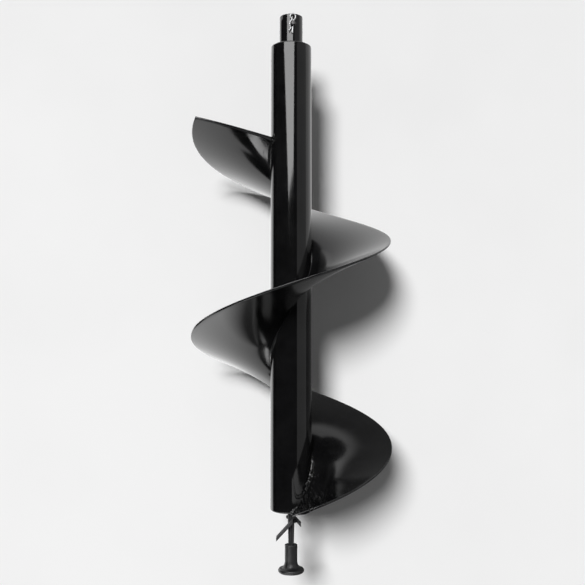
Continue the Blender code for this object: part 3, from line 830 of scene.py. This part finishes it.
def make_drive_socket():
    edge = SOCKET_EDGE
    inner = edge / 2
    outline = arc((SOCKET_BORE + inner, -inner), inner, 180, 90, 4)
    outline += arc((SOCKET_RADIUS - edge, -edge), edge, 90, 0)
    outline += along((SOCKET_RADIUS, -edge), (SOCKET_RADIUS, SOCKET_BOTTOM), 12)
    outline += [(SOCKET_RADIUS, SOCKET_BOTTOM), (SOCKET_BORE, SOCKET_BOTTOM)]
    shape = turned(outline, SIDES)
    shape = drilled(shape, PIN_RADIUS + PIN_CLEARANCE, 8 * SOCKET_RADIUS, PIN_FRAME @ ALONG_PIN)
    add_piece("drive_socket_fine", shape, "tube", "auger", "drive_socket", edge_angle=20)


def make_hitch_pin():
    """Head behind and plain end in front, along the local Y of the pin's frame."""
    back = SOCKET_RADIUS + GAP
    front = -SOCKET_RADIUS - PIN_END
    nose = PIN_RADIUS * 0.3
    dome = PIN_HEAD_THICKNESS * 0.45
    outline = [(0.0, front)]
    outline += arc((PIN_RADIUS - nose, front + nose), nose, -90, 0, 5)
    outline += along((PIN_RADIUS, front + nose), (PIN_RADIUS, back), 30)
    outline += [(PIN_RADIUS, back), (PIN_HEAD_RADIUS - nose * 0.3, back)]
    outline += [(PIN_HEAD_RADIUS, back + nose * 0.3)]
    outline += arc((PIN_HEAD_RADIUS - dome, back + PIN_HEAD_THICKNESS - dome), dome, 0, 90, 6)
    outline += [(0.0, back + PIN_HEAD_THICKNESS)]
    shape = turned(outline, FINE_SIDES, closed=False)
    bmesh.ops.transform(shape, matrix=ALONG_PIN, verts=shape.verts)
    hole = Matrix.Translation((0.0, -CLIP_PLANE, 0.0))
    shape = drilled(shape, CLIP_WIRE / 2 + CLIP_CLEARANCE, 4 * PIN_RADIUS, hole, 40)
    bmesh.ops.transform(shape, matrix=CLIP_FRAME, verts=shape.verts)
    add_piece("hitch_pin_fine", shape, "pin", "pin", "hitch_pin", edge_angle=20)


def clip_route():
    """Middle of the clip's wire: across and up from the pin's axis."""
    wire = CLIP_WIRE
    hug = PIN_RADIUS + wire / 2 + GAP
    touch = wire + GAP
    neck = PIN_RADIUS + 2.4 * GAP
    loop = 0.0034
    loop_height = neck + 0.0061
    return [
        (0.0, -0.0113),
        (0.0, -0.005),
        (0.0, neck),
        (loop * 0.45, neck + 0.0028),
        (loop - touch / 2, loop_height),
        (-touch / 2, loop_height + loop),
        (-loop - touch / 2, loop_height),
        (-touch * 0.95, neck + 0.0021),
        (-hug * 0.88, hug * 0.60),
        (-hug, 0.0),
        (-hug * 0.86, -hug * 0.60),
        (-touch - 0.2 * wire, -hug - 0.0008),
        (-touch - 1.1 * wire, -hug - 0.0032),
        (-touch - 2.0 * wire, -hug - 0.0052),
    ]


def make_r_clip():
    """One round wire swept along the clip's route, with clipped and deburred ends."""
    curve = bpy.data.curves.new("clip_route", "CURVE")
    curve.dimensions = "3D"
    curve.bevel_depth = CLIP_WIRE / 2
    curve.bevel_resolution = 6
    curve.resolution_u = 18
    curve.use_fill_caps = True
    route = clip_route()
    spline = curve.splines.new("BEZIER")
    spline.bezier_points.add(len(route) - 1)
    for index, (knot, (across, up)) in enumerate(zip(spline.bezier_points, route)):
        straight = index < 3
        knot.handle_left_type = "FREE" if straight else "AUTO"
        knot.handle_right_type = knot.handle_left_type
        knot.co = (across, -CLIP_PLANE, up)
        if straight:
            knot.handle_left = knot.co - Vector((0.0, 0.0, CLIP_WIRE))
            knot.handle_right = knot.co + Vector((0.0, 0.0, CLIP_WIRE))
    guide = linked("clip_guide", curve)
    graph = bpy.context.evaluated_depsgraph_get()
    shape = bmesh.new()
    shape.from_mesh(guide.evaluated_get(graph).to_mesh())
    bpy.data.objects.remove(guide, do_unlink=True)
    bmesh.ops.remove_doubles(shape, verts=shape.verts, dist=1e-7)
    rims = [edge for edge in shape.edges if edge.calc_face_angle(0.0) > math.radians(60)]
    bmesh.ops.bevel(shape, geom=rims, offset=CLIP_WIRE * 0.12, segments=2, affect="EDGES")
    bmesh.ops.transform(shape, matrix=CLIP_FRAME, verts=shape.verts)
    add_piece("r_clip_fine", shape, "clip", "clip", "r_clip", edge_angle=40, sharp=50)


# ---------------- pilot point
def make_pilot_rod():
    straight = CORE_BOTTOM - ROD_WELD
    shoulder = ROD_TIP + ROD_POINT
    outline = [(0.0, ROD_TOP), (ROD_RADIUS, ROD_TOP)]
    outline += [(ROD_RADIUS, straight)]
    outline += along((ROD_RADIUS, straight), (ROD_WAIST, CAP_TOP), 14)
    outline += [(ROD_WAIST, CAP_TOP)] + along((ROD_WAIST, CAP_TOP), (ROD_NOSE, shoulder), 8)
    outline += [(ROD_NOSE, shoulder), (0.0, ROD_TIP)]
    shape = turned(outline, FINE_SIDES, closed=False)
    add_piece("pilot_rod_fine", shape, "rod", "auger", "pilot_rod")


def pilot_blade(name, side, reach, drop, start):
    """A flat bar that slopes down beside the rod, with its arrises dressed."""
    rise = math.tan(PILOT_SLOPE)
    deep = PILOT_THICKNESS / math.cos(PILOT_SLOPE)
    tip = CORE_BOTTOM - drop
    near = ROD_RADIUS + GAP
    sections = []
    for i in range(9):
        across = -reach + (start + reach) * i / 8
        low = tip + (across + reach) * rise
        sections.append([
            Vector((side * across, -side * near, low)),
            Vector((side * across, -side * (near + PILOT_DEPTH), low)),
            Vector((side * across, -side * (near + PILOT_DEPTH), low + deep)),
            Vector((side * across, -side * near, low + deep)),
        ])
    shape = lofted(sections)
    bmesh.ops.recalc_face_normals(shape, faces=shape.faces)
    arrises = [edge for edge in shape.edges if edge.calc_face_angle(0.0) > math.radians(35)]
    bmesh.ops.bevel(shape, geom=arrises, offset=0.00035, segments=3, affect="EDGES")
    add_piece(name + "_fine", shape, "blade", "auger", name, sharp=50)


def pilot_bead(name, side, reach, drop, start):
    """A short rippled bead that hugs the rod beside a blade's upper end."""
    middle = CORE_BOTTOM - drop + (start + reach) * math.tan(PILOT_SLOPE)
    inner = ROD_RADIUS + GAP
    begin = math.asin(min(0.95, (start + 2 * GAP) / inner)) + 0.12
    sweep = math.radians(62)
    count = int(sweep * (inner + PILOT_WELD) / RIPPLE_PITCH * BEAD_STEPS * 2)
    sections = []
    for step in range(count + 1):
        share = step / count
        angle = begin + sweep * share
        size = PILOT_WELD * taper(share) * 0.93
        away = Vector((side * math.sin(angle), -side * math.cos(angle), 0.0))
        centre = away * inner + Vector((0.0, 0.0, middle))
        foot = Vector((0.0, 0.0, size * 0.96))
        section = [centre - foot, centre + foot]
        for i in range(1, BEAD_ARC):
            lean = math.pi * (0.5 - i / BEAD_ARC)
            swell = 0.88 + ripple(share * sweep * inner * 2, lean) + jitter(away * i + centre, 500.0, 0.08)
            reach_out = Vector((0.0, 0.0, math.sin(lean))) + away * math.cos(lean)
            section.append(centre + reach_out * size * swell)
        sections.append(section)
    shape = lofted(sections)
    add_piece(name + "_fine", shape, "weld", "auger", name, edge_angle=25)


def make_pilot():
    make_pilot_rod()
    for where, sizes in (("front", PILOT_FRONT), ("rear", PILOT_REAR)):
        pilot_blade(f"pilot_blade_{where}", *sizes)
        pilot_bead(f"pilot_blade_{where}_weld", *sizes)
    ring_weld(
        "pilot_rod_weld_fine", ROD_RADIUS, CORE_BOTTOM, -1, ROD_WELD - 2 * GAP, "pilot_rod_weld"
    )


# ---------------- rubber tip cap
def make_tip_cap():
    """A moulded sleeve that flares to a round foot, with a parting line down each side."""
    bore = ROD_WAIST + CAP_CLEARANCE
    lip = 0.0008
    rim = CAP_RIM / 2
    foot = CAP_FLANGE - rim
    flare_top = CAP_BOTTOM + CAP_FLARE
    rim_top = CAP_BOTTOM + CAP_RIM
    dish = 0.0005
    outline = [(0.0, CAP_BOTTOM + CAP_FLOOR), (bore, CAP_BOTTOM + CAP_FLOOR)]
    outline += along((bore, CAP_BOTTOM + CAP_FLOOR), (bore, CAP_TOP - lip), 8)
    outline += arc((bore + lip, CAP_TOP - lip), lip, 180, 90, 4)
    outline += arc((CAP_SLEEVE - lip, CAP_TOP - lip), lip, 90, 0, 4)
    outline += along((CAP_SLEEVE, CAP_TOP - lip), (CAP_SLEEVE, flare_top), 14)
    for i in range(17):
        angle = math.pi / 2 * i / 16
        radius = CAP_SLEEVE + (foot - CAP_SLEEVE) * (1 - math.cos(angle))
        outline.append((radius, flare_top - (flare_top - rim_top) * math.sin(angle)))
    outline += arc((foot, CAP_BOTTOM + rim), rim, 90, -90, 16)[1:]
    outline += [(foot * 0.86, CAP_BOTTOM), (foot * 0.80, CAP_BOTTOM + dish), (0.0, CAP_BOTTOM + dish)]
    shape = turned(outline, SIDES, closed=False)
    for point in shape.verts:
        radius = math.hypot(point.co.x, point.co.y)
        if radius < CAP_SLEEVE * 0.97 or point.co.z < CAP_BOTTOM + rim:
            continue
        angle = math.atan2(point.co.y, point.co.x) - math.radians(62)
        ridge = 0.00014 * math.exp(-(math.sin(angle) * radius / 0.00035) ** 2)
        ridge += jitter(point.co, 160.0, 0.00008)
        point.co += Vector((point.co.x, point.co.y, 0.0)).normalized() * ridge
    add_piece("tip_cap_fine", shape, "rubber", "cap", "tip_cap")


# ---------------- stage, lights and camera
def paint_hidden_nodes():
    """The two rings inside the tube keep their CAD shape and take the paint."""
    for name in ("socket_spacer", "pilot_stay"):
        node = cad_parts[name]
        for slot in node.material_slots:
            slot.material = MATERIALS["fitting"]


def mixed_shader(tree, factor, first, second):
    """A Mix Shader's output: the first shader where the factor is 0, the second where it is 1."""
    node = tree.nodes.new("ShaderNodeMixShader")
    for source, socket in zip((factor, first, second), node.inputs):
        tree.links.new(source, socket)
    return node.outputs["Shader"]


def one_sided(tree, front):
    """Make a shader the material's front, with nothing on its back."""
    behind = tree.nodes.new("ShaderNodeNewGeometry").outputs["Backfacing"]
    clear = tree.nodes.new("ShaderNodeBsdfTransparent").outputs["BSDF"]
    shown = mixed_shader(tree, behind, front, clear)
    tree.links.new(shown, tree.nodes["Material Output"].inputs["Surface"])


def pale_surface_material():
    """Matt pale board that lets a viewer behind it look through.  In reflections it glows instead, with
    tones of its own: painted light, paler on the left, and a painted shadow low on the right."""
    shader = Shader("pale_surface")
    tone = shader.remap(shader.noise(1.6, 4.0, 0.6), 0.3, 0.7, 0.0, 1.0)
    board = shader.mix(tone, BOARD, BOARD_PALE)
    matt = shader.nodes.new("ShaderNodeBsdfDiffuse")
    shader.link(board, matt.inputs["Color"])
    split = shader.nodes.new("ShaderNodeSeparateXYZ")
    shader.link(shader.place, split.inputs["Vector"])
    # painted shadow low on the right of the reflected glow, fading out upwards
    rise = shader.remap(split.outputs["Z"], *PAINTED_SHADOW_FADE_Z, 0.0, 1.0)
    right = shader.mix(rise, (REFLECTED_PAINTED_SHADOW,) * 3, (REFLECTED_GLOW_RIGHT,) * 3)
    side = shader.remap(split.outputs["X"], *SIDE_FADE_X, 0.0, 1.0)
    # an emission that only reflections see: painted light and painted shadow on the board
    painted_reflection = shader.nodes.new("ShaderNodeEmission")
    shader.link(shader.mix(side, (REFLECTED_GLOW_LEFT,) * 3, right), painted_reflection.inputs["Color"])
    glossy = shader.nodes.new("ShaderNodeLightPath").outputs["Is Glossy Ray"]
    face = mixed_shader(shader.tree, glossy, matt.outputs[0], painted_reflection.outputs[0])
    one_sided(shader.tree, face)
    return shader.material


def stage_mesh(name, points, material):
    mesh = bpy.data.meshes.new(name)
    mesh.from_pydata(points, [], [tuple(range(len(points)))])
    mesh.materials.append(material)
    thing = linked(name, mesh)
    return thing


def make_surface():
    """The pale surface that the bit lies on, its face towards -Y."""
    half = SURFACE_SIZE / 2
    middle = CAMERA_AIM.z
    points = [
        (-half, SURFACE_Y, middle - half), (half, SURFACE_Y, middle - half),
        (half, SURFACE_Y, middle + half), (-half, SURFACE_Y, middle + half),
    ]
    stage_mesh("pale_surface", points, pale_surface_material())


def glowing(name, strength):
    material = bpy.data.materials.new(name)
    material.use_nodes = True
    nodes = material.node_tree.nodes
    nodes.remove(nodes["Principled BSDF"])
    glow = nodes.new("ShaderNodeEmission")
    glow.inputs["Strength"].default_value = strength
    material.node_tree.links.new(glow.outputs[0], nodes["Material Output"].inputs["Surface"])
    return material


def keep_to_reflections(thing):
    thing.visible_camera = False
    thing.visible_diffuse = False
    thing.visible_shadow = False


def light_panel(name, corners, strength):
    """A panel that glows in reflections.  corners are (degrees to the viewer's right, height)."""
    points = []
    for azimuth, height in corners:
        angle = math.radians(azimuth)
        points.append((PANEL_DISTANCE * math.sin(angle), -PANEL_DISTANCE * math.cos(angle), height))
    keep_to_reflections(stage_mesh(name, points, glowing(name, strength)))


def mirror_card(name, points, strength):
    """A one-sided card that shows only in reflections; strength 0 is a black flag."""
    material = glowing(name, strength)
    tree = material.node_tree
    one_sided(tree, tree.nodes["Emission"].outputs[0])
    keep_to_reflections(stage_mesh(name, points, material))


def level_card(name, outline, height, strength):
    mirror_card(name, [(x, y, height) for x, y in outline], strength)


def make_panels():
    softbox = [(-14, 0.12), (13, 0.23), (17, 0.70), (20, 1.55), (-42, 1.55), (-40, 0.73)]
    right_wall = [(33, -1.4), (92, -1.4), (92, 1.0), (33, 1.0)]
    low_fill = [(-62, -2.6), (-10, -2.6), (-10, -1.47), (-62, -1.47)]
    light_panel("key_softbox", softbox, SOFTBOX_GLOW)
    light_panel("right_wall", right_wall, WALL_GLOW)
    light_panel("low_fill", low_fill, LOW_GLOW)


def make_cards():
    low, high = FLAG_HEIGHTS
    flag = [
        (FLAG_X, FLAG_FRONT, low), (FLAG_X, SURFACE_Y, low),
        (FLAG_X, SURFACE_Y, high), (FLAG_X, FLAG_FRONT, high),
    ]
    upper = [
        (-0.054, -0.020), (-0.033, -0.031), (-0.010, -0.043),
        (-0.028, -0.032), (-0.038, -0.021), (-0.050, -0.011),
    ]
    lower = [
        (0.037, -0.076), (-0.04, -0.080), (-0.13, -0.083),
        (-0.22, -0.056), (-0.09, -0.139), (0.025, -0.126),
    ]
    mirror_card("left_flag", flag, 0.0)
    level_card("upper_kicker", upper, UPPER_CARD_Z, UPPER_CARD_GLOW)
    level_card("lower_kicker", lower, LOWER_CARD_Z, LOWER_CARD_GLOW)


def make_sun():
    """The main light on matt surfaces, which casts the shadow and shows in no reflection."""
    sun = bpy.data.lights.new("shadow_key", "SUN")
    sun.energy = SUN_POWER
    sun.angle = SUN_WIDTH
    lamp = linked("shadow_key", sun)
    towards = Vector((math.sin(SUN_AZIMUTH), -math.cos(SUN_AZIMUTH), math.tan(SUN_HEIGHT)))
    lamp.rotation_euler = towards.to_track_quat("Z", "Y").to_euler()
    lamp.visible_glossy = False


def make_world():
    """Pale behind the bit, even light on matt surfaces, and dim where the paint mirrors it."""
    world = bpy.data.worlds.new("studio")
    bpy.context.scene.world = world
    world.use_nodes = True
    tree = world.node_tree
    path = tree.nodes.new("ShaderNodeLightPath")
    seen = tree.nodes["Background"]
    room, around = (tree.nodes.new("ShaderNodeBackground") for _ in range(2))
    for node, tone in ((seen, BACKDROP), (room, MIRRORED_ROOM), (around, AMBIENT)):
        node.inputs["Color"].default_value = (tone, tone, tone, 1.0)
    unseen = mixed_shader(tree, path.outputs["Is Diffuse Ray"], room.outputs[0], around.outputs[0])
    shown = mixed_shader(tree, path.outputs["Is Camera Ray"], unseen, seen.outputs[0])
    tree.links.new(shown, tree.nodes["World Output"].inputs["Surface"])


def make_camera():
    lens = bpy.data.cameras.new("camera")
    lens.lens = CAMERA_LENS
    lens.sensor_width = CAMERA_SENSOR
    camera = linked("camera", lens)
    back = Vector((0.0, -math.cos(CAMERA_TILT), -math.sin(CAMERA_TILT)))
    camera.location = CAMERA_AIM + back * CAMERA_DISTANCE
    camera.rotation_euler = (-back).to_track_quat("-Z", "Y").to_euler()
    bpy.context.scene.camera = camera
    bpy.context.scene.view_settings.view_transform = "Standard"


make_camera()
make_core_tube()
end_plate("top_plate", SOCKET_RADIUS, CORE_TOP, -1)
end_plate("bottom_plate", ROD_RADIUS, CORE_BOTTOM, 1)
groove_ring("top_plate_weld_fine", CORE_TOP, 1, "top_plate_weld")
groove_ring("bottom_plate_weld_fine", CORE_BOTTOM, -1, "bottom_plate_weld")
ring_weld("socket_weld_fine", SOCKET_RADIUS, CORE_TOP, 1, FILLET, "socket_weld")
make_drive_socket()
make_hitch_pin()
make_r_clip()
make_flight()
make_cutting_blade()
make_junction_beads()
make_pilot()
make_tip_cap()
paint_hidden_nodes()
make_surface()
make_panels()
make_cards()
make_sun()
make_world()
